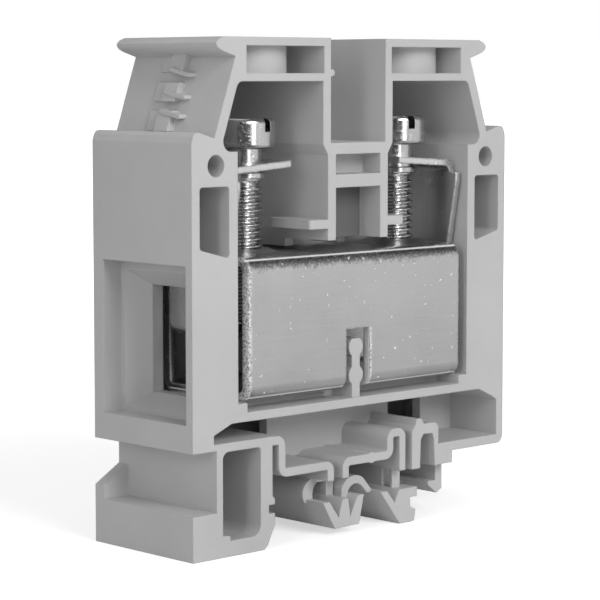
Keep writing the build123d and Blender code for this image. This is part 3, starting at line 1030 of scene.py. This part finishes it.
    def slotted_head(self, top: float) -> bpy.types.Object:
        """Makes the cheese head with its driver slot.

        Args:
            top: level of the head's top.

        Returns:
            The head as an object.
        """
        made = bmesh.new()
        lathe(made, self.head_profile(top), self.head_segments)
        head = piece_from(made, self.side.value + "_head")
        cutter = self.slot_cutter(top)
        cut = head.modifiers.new("slot", "BOOLEAN")
        cut.object = cutter
        cut.operation = "DIFFERENCE"
        cut.solver = "EXACT"
        bpy.context.view_layer.update()
        shaped = head.evaluated_get(bpy.context.evaluated_depsgraph_get())
        mesh = bpy.data.meshes.new_from_object(shaped)
        head.modifiers.clear()
        head.data = mesh
        bpy.data.objects.remove(cutter)
        return head


@dataclass
class Moulding:
    """The one-piece housing."""

    finish: MouldedPlastic = MouldedPlastic()

    def build(self) -> bpy.types.Object:
        """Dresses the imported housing.

        Returns:
            The housing.
        """
        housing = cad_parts["housing"]
        dress(housing, self.finish.material())
        return housing


@dataclass
class ClampMetal:
    """The folded clamp body, its stirrups and its screws.

    The sleeve's marks are in millimetres: how far they lie below its upper fold, above its lower
    fold or in from its cut edges. slot_edge is where the keyhole slot's right wall lies along x,
    and above_all is a level above the whole block.
    """

    stirrup: PlatedSteel = PlatedSteel(
        "zinc_stirrup",
        tone=0.66,
        rough=0.28,
        stretch=(1.0, 1.0, 0.06),
        streak_weight=0.3,
    )
    turned: PlatedSteel = PlatedSteel(
        "zinc_screw",
        tone=0.51,
        rough=0.13,
        stretch=(1.0, 1.0, 1.0),
        edge_radius=0.12,
        edge_sparkle=0.3,
        rim_dullness=0.1,
        crystal_relief=3.5,
        grain_scale=3.0,
    )
    slot_turns: Pair = (98.0, 80.0)
    boss_height: float = 0.7
    # Where the painted dark band and the painted highlight lines lie on the sleeve.
    bend_below_top: float = 1.2
    highlight_below_top: float = 0.4
    highlight_above_bottom: float = 0.5
    end_rim: float = 1.5
    slot_edge: float = 2.3
    slot_rim: float = 0.9
    slot_height: float = 8.7
    above_all: float = 100.0

    def sleeve(self) -> PlatedSteel:
        """Works out the clamp body's finish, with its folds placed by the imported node's box.

        Returns:
            The finish.
        """
        low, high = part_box("clamp_body")
        fold_top, fold_low, end = high.z / MM - self.boss_height, low.z / MM, -high.x / MM
        return PlatedSteel(
            "zinc_sheet",
            tone=0.53,
            rim_dullness=0.9,
            crystal_fineness=1.25,
            # the painted dark band lies on the upper bend
            bends=(fold_top - self.bend_below_top,),
            # painted highlight lines below the upper fold and above the lower fold
            highlight_lines=(fold_top - self.highlight_below_top, fold_low + self.highlight_above_bottom),
            sheared=(
                ShearedRim(end + self.end_rim, end, self.above_all),
                ShearedRim(self.slot_edge + self.slot_rim, self.slot_edge, fold_low + self.slot_height),
            ),
        )

    def build(self) -> list[bpy.types.Object]:
        """Dresses the sheet parts and makes the screws.

        Returns:
            The metal pieces.
        """
        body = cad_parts["clamp_body"]
        dress(body, self.sleeve().material())
        made = [body]
        stirrup_finish = self.stirrup.material()
        screw_finish = self.turned.material()
        for side, slot_turn in zip(Side, self.slot_turns):
            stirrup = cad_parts[side.value + "_stirrup"]
            dress(stirrup, stirrup_finish)
            made.append(stirrup)
            made.append(ClampScrew(side, slot_turn).build(screw_finish))
        return made


@dataclass(frozen=True)
class Lamp:
    """A rectangular area lamp that faces the block. Millimetres and watts."""

    name: str
    place: Triple
    size: Pair
    power: float
    gloss_only: bool = False
    aim_level: float = 38.0

    def hang(self) -> None:
        """Puts the lamp into the scene, unseen by the camera."""
        data = bpy.data.lights.new(self.name, "AREA")
        data.shape = "RECTANGLE"
        width, height = self.size
        data.size, data.size_y = width * MM, height * MM
        data.energy = self.power
        lamp = bpy.data.objects.new(self.name, data)
        lamp.location = Vector(self.place) * MM
        aim = Vector((0, 0, self.aim_level * MM)) - lamp.location
        lamp.rotation_euler = aim.to_track_quat("-Z", "Y").to_euler()
        lamp.visible_camera = False
        lamp.visible_diffuse = not self.gloss_only
        bpy.context.scene.collection.objects.link(lamp)


@dataclass
class Studio:
    """Pale floor, soft lights and the camera. Millimetres and degrees.

    The room looks bright in the metal towards its bright side, dim on the other sides, and less
    bright towards the ceiling.
    """

    focal_px: float = 2275.3
    image_px: float = 600.0
    sensor: float = 36.0
    clip_start: float = 10.0
    place: Triple = (-228.916, -238.959, 65.560)
    heading: float = 43.588
    dip: float = 5.641
    floor_half: float = 4000.0
    floor_tone: float = 0.80
    floor_tone_in_metal: float = 0.10
    floor_glow: float = 0.56
    glow_range: Pair = (60.0, 450.0)
    ambient: float = 0.33
    bright_side: Triple = (0.60, -0.80, 0.0)
    gloss_range: Pair = (0.60, 0.95)
    gloss_levels: Pair = (0.06, 0.91)
    ceiling_range: Pair = (0.12, 0.42)
    ceiling_share: float = 0.45
    lamps: tuple[Lamp, ...] = (
        Lamp("key", (-60, -700, 430), (380, 380), 3.1),
        Lamp("end", (-620, -240, 240), (120, 420), 0.70),
        Lamp("top", (-60, 60, 760), (420, 420), 0.65),
        Lamp("strip", (-10, -420, 215), (90, 420), 0.55, gloss_only=True),
    )

    def build(self) -> None:
        """Sets up the whole studio."""
        self.camera()
        self.floor()
        self.world()
        for lamp in self.lamps:
            lamp.hang()
        bpy.context.scene.view_settings.view_transform = "Standard"

    def camera(self) -> None:
        """Places the camera where the photograph was taken."""
        data = bpy.data.cameras.new("camera")
        data.sensor_width = self.sensor
        data.lens = self.focal_px / self.image_px * self.sensor
        data.clip_start = self.clip_start * MM
        viewer = bpy.data.objects.new("camera", data)
        viewer.location = Vector(self.place) * MM
        viewer.rotation_euler = (math.radians(90 - self.dip), 0, math.radians(-self.heading))
        bpy.context.scene.collection.objects.link(viewer)
        bpy.context.scene.camera = viewer

    def room_gloss(self, graph: Graph, facing: Socket) -> Socket:
        """Works out how bright the room looks in the metal in one direction.

        Args:
            graph: the material's graph.
            facing: the direction out of the block.

        Returns:
            The brightness for glossy rays.
        """
        side = graph.dot(facing, self.bright_side)
        return graph.span(side, *self.gloss_range, *self.gloss_levels)

    def shown(self, graph: Graph, seen: bpy.types.Node, gloss: Feed) -> Socket:
        """Picks 1 for camera and transmission rays and the room's brightness for glossy ones.

        Args:
            graph: the material's graph.
            seen: its Light Path node.
            gloss: the brightness for glossy rays.

        Returns:
            The share of white that the ray sees.
        """
        clear = graph.maths("MAXIMUM", seen.outputs["Is Camera Ray"], seen.outputs["Is Transmission Ray"])
        return graph.maths("MAXIMUM", clear, graph.times(seen.outputs["Is Glossy Ray"], gloss))

    def floor_material(self) -> bpy.types.Material:
        """Makes a pale matt finish that glows white to the camera, less so near the block.

        Returns:
            The material.
        """
        made, graph = blank_material("pale_floor")
        seen = graph.add("LightPath")
        place = graph.place()
        away = graph.add("VectorMath", {0: place}, operation="LENGTH").outputs["Value"]
        near, far = self.glow_range
        strength = graph.span(away, near * MM, far * MM, self.floor_glow, 1.0)
        facing = graph.vector("NORMALIZE", place)
        shown = self.shown(graph, seen, self.room_gloss(graph, facing))
        tone, tone_in_metal = grey(self.floor_tone), grey(self.floor_tone_in_metal)
        colour = graph.blend(seen.outputs["Is Glossy Ray"], tone, tone_in_metal)
        plain = graph.add("BsdfDiffuse", {"Color": colour})
        glow = graph.add("Emission", {"Strength": graph.times(shown, strength)})
        both = graph.add("AddShader", {0: plain.outputs[0], 1: glow.outputs[0]})
        graph.add("OutputMaterial", {"Surface": both.outputs[0]})
        return made

    def floor(self) -> None:
        """Lays a pale floor that keeps the block's shadow and reads white to the camera."""
        made = bmesh.new()
        bmesh.ops.create_grid(made, x_segments=1, y_segments=1, size=self.floor_half)
        floor = piece_from(made, "floor")
        dress(floor, self.floor_material())

    def world(self) -> None:
        """Lights the room softly and shows white behind the block."""
        world = bpy.data.worlds.new("room")
        bpy.context.scene.world = world
        world.use_nodes = True
        graph = Graph(world.node_tree)
        seen = graph.add("LightPath")
        ways = graph.add("TexCoord").outputs["Generated"]
        dimming = graph.span(graph.split(ways)["Z"], *self.ceiling_range, 1.0, self.ceiling_share)
        shown = self.shown(graph, seen, graph.times(self.room_gloss(graph, ways), dimming))
        unseen = graph.maths("SUBTRACT", 1.0, self.shown(graph, seen, 1.0))
        level = graph.maths("ADD", shown, graph.times(unseen, self.ambient))
        sky = graph.add("Background", {"Color": grey(1.0), "Strength": level})
        graph.add("OutputWorld", {"Surface": sky.outputs[0]})


def main() -> None:
    """Builds the block's finishes and fine parts, then the studio."""
    logging.basicConfig(level=logging.INFO, format="%(message)s")
    housing = Moulding().build()
    log.info("dressed %s", housing.name)
    for piece in ClampMetal().build():
        log.info("made %s", piece.name)
    Studio().build()
    log.info("set up the studio")


if __name__ == "__main__":
    main()
